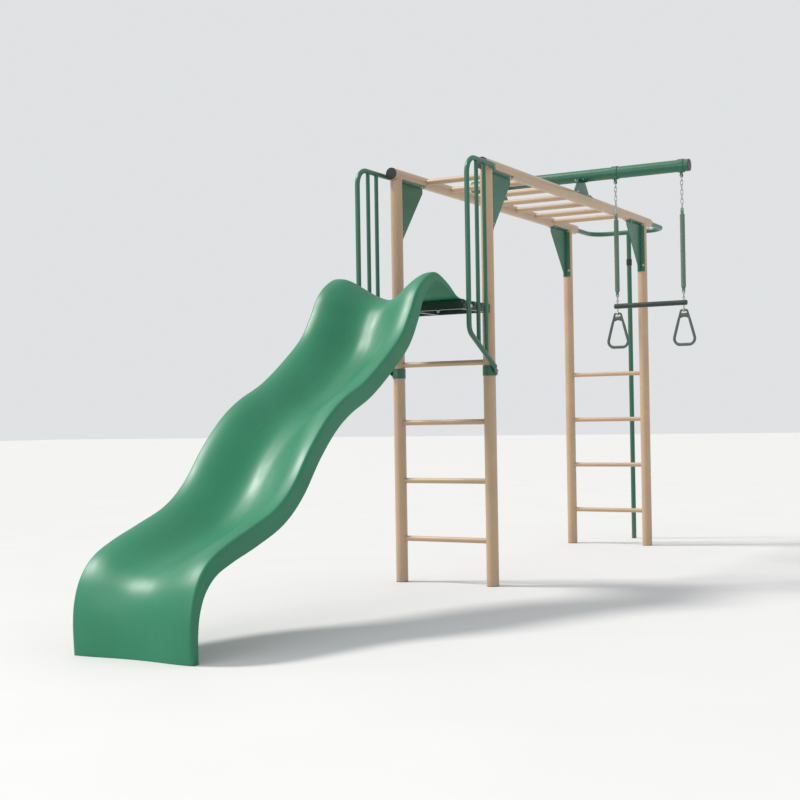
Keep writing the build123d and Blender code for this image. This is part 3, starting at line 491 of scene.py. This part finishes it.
# ---- welds ----
def weld_line(centre_point, way, rung_r, tube_axis):
    """Line where a rung along X meets a tube, on the side given by way."""
    points = []
    for k in range(WELD_POINTS):
        turn = 2 * math.pi * k / WELD_POINTS
        across = (rung_r + WELD_R / 2) * math.cos(turn)
        along = (rung_r + WELD_R / 2) * math.sin(turn)
        reach = way * math.sqrt(POST_R**2 - across**2)
        offset = (reach, across, along) if tube_axis == "Z" else (reach, along, across)
        points.append(centre_point + Vector(offset))
    return points


def make_welds(material):
    bm = bmesh.new()
    left_x, right_x = centre("rail_left").x, centre("rail_right").x
    for node in sorted(NODES):
        if not node.startswith(("front_rung", "rear_rung", "overhead_rung")):
            continue
        low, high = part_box(node)
        middle = centre(node)
        tube_axis = "Y" if node.startswith("overhead") else "Z"
        for x, way in ((left_x, 1), (right_x, -1)):
            end = Vector((x, middle.y, middle.z))
            points = weld_line(end, way, (high.z - low.z) / 2, tube_axis)
            closed_tube(bm, points, [WELD_R] * len(points), 8, Vector((1, 0, 0)))
    add_piece("rung_welds", bm, material, "station")


# ---- deck tread ----
def add_stud(bm, x, y, z, lean):
    """One oval stud with sloping sides."""
    foot, top = [], []
    for k in range(STUD_POINTS):
        turn = 2 * math.pi * k / STUD_POINTS
        along, across = STUD_LONG * math.cos(turn), STUD_SHORT * math.sin(turn)
        dx = along * math.cos(lean) - across * math.sin(lean)
        dy = along * math.sin(lean) + across * math.cos(lean)
        foot.append(bm.verts.new((x + dx, y + dy, z - 0.0002)))
        top.append(bm.verts.new((x + dx * STUD_TOP, y + dy * STUD_TOP, z + STUD_HEIGHT)))
    for k in range(STUD_POINTS):
        j = (k + 1) % STUD_POINTS
        bm.faces.new((foot[k], foot[j], top[j], top[k]))
    bm.faces.new(top)


def make_tread(material):
    """Studs over the deck behind the slide's lip."""
    low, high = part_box("deck_panel")
    start_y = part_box("slide")[1].y + 0.014
    columns = int((high.x - low.x - 2 * STUD_EDGE) / STUD_PITCH)
    rows = int((high.y - start_y - STUD_EDGE + 0.008) / STUD_PITCH)
    bm = bmesh.new()
    for i in range(columns + 1):
        for j in range(rows + 1):
            x = low.x + STUD_EDGE + i * STUD_PITCH
            y = start_y + j * STUD_PITCH
            add_stud(bm, x, y, high.z, math.radians(45 if (i + j) % 2 else -45))
    add_piece("deck_tread", bm, material, "station")


# ---- hand rings ----
def rounded(corners, radii, arc_steps=9, side_steps=14):
    """Closed line through the corners, each turned into an arc of its radius."""
    points = []
    count = len(corners)
    for i, corner in enumerate(corners):
        back = (corners[i - 1] - corner).normalized()
        ahead = (corners[(i + 1) % count] - corner).normalized()
        half = back.angle(ahead) / 2
        trim = radii[i] / math.tan(half)
        middle = corner + (back + ahead).normalized() * radii[i] / math.sin(half)
        start, end = corner + back * trim - middle, corner + ahead * trim - middle
        for k in range(arc_steps + 1):
            points.append(middle + start.slerp(end, k / arc_steps).normalized() * radii[i])
    filled = []
    for i, point in enumerate(points):
        following = points[(i + 1) % len(points)]
        steps = side_steps if (following - point).length > 0.012 else 1
        for k in range(steps):
            filled.append(point.lerp(following, k / steps))
    return filled


def ring_thickness(drop, height):
    """Radius of the ring, thin where it turns in the eye and full at the hand grip."""
    share = min(max((drop - 0.012) / (height * 0.35), 0.0), 1.0)
    blend = share * share * (3 - 2 * share)
    grip = 1.0 if drop > height - 0.004 else 0.0
    return RING_WIRE + RING_SWELL * blend + RING_GRIP_SWELL * grip


def ring_web(bm, pivot, low_half, height):
    """Plate between the ring's two sides, with an arched lower edge."""
    steps = 12
    columns = []
    for k in range(steps + 1):
        across = 2 * k / steps - 1
        low_edge = WEB_LOW - WEB_ARCH * (1 - across * across)
        column = []
        for drop in (WEB_TOP, (WEB_TOP + low_edge) / 2, low_edge):
            reach = RING_TOP_HALF + (low_half - RING_TOP_HALF) * drop / height
            spot = pivot + Vector((across * reach, 0, -drop))
            faces = (Vector((0, -WEB_HALF_T, 0)), Vector((0, WEB_HALF_T, 0)))
            column.append([bm.verts.new(spot + face) for face in faces])
        columns.append(column)
    for near, far in zip(columns, columns[1:]):
        for j in range(2):
            bm.faces.new((near[j][0], far[j][0], far[j + 1][0], near[j + 1][0]))
            bm.faces.new((near[j][1], near[j + 1][1], far[j + 1][1], far[j][1]))
        bm.faces.new((near[0][0], near[0][1], far[0][1], far[0][0]))
        bm.faces.new((near[2][0], far[2][0], far[2][1], near[2][1]))
    for column in (columns[0], columns[-1]):
        for j in range(2):
            bm.faces.new((column[j][0], column[j + 1][0], column[j + 1][1], column[j][1]))


def make_ring(side, pivot, material):
    """Moulded hand ring in place of the frame's plain one."""
    low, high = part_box(f"ring_{side}")
    height = pivot.z - low.z - (high.y - low.y) / 2
    low_half = (high.x - low.x) / 2 + RING_SPREAD
    corners = [
        pivot + Vector((RING_TOP_HALF, 0, 0)),
        pivot + Vector((low_half, 0, -height)),
        pivot + Vector((-low_half, 0, -height)),
        pivot + Vector((-RING_TOP_HALF, 0, 0)),
    ]
    points = rounded(corners, RING_CORNERS)
    radii = [ring_thickness(pivot.z - point.z, height) for point in points]
    bm = bmesh.new()
    closed_tube(bm, points, radii, 16, Vector((0, 1, 0)))
    ring_web(bm, pivot, low_half, height)
    ring = add_piece(f"ring_{side}_moulding", bm, material, f"{side}_ring")
    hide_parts(f"ring_{side}")


# ---- build ----
make_camera()
make_lights()
make_floor()
MATERIALS = make_materials()
paint_frame(MATERIALS)
make_slide(MATERIALS["slide_plastic"])
make_welds(MATERIALS["tan_powder_coat"])
# The tread studs take the deck coating, whose near black is painted shade.
make_tread(MATERIALS["deck_coating"])
for joint in frame["record"]["behaviour"]["joints"]:
    if joint["child"].endswith("_ring"):
        ring_side = joint["child"].removesuffix("_ring")
        make_ring(ring_side, Vector(joint["pos_m"]), MATERIALS["ring_plastic"])
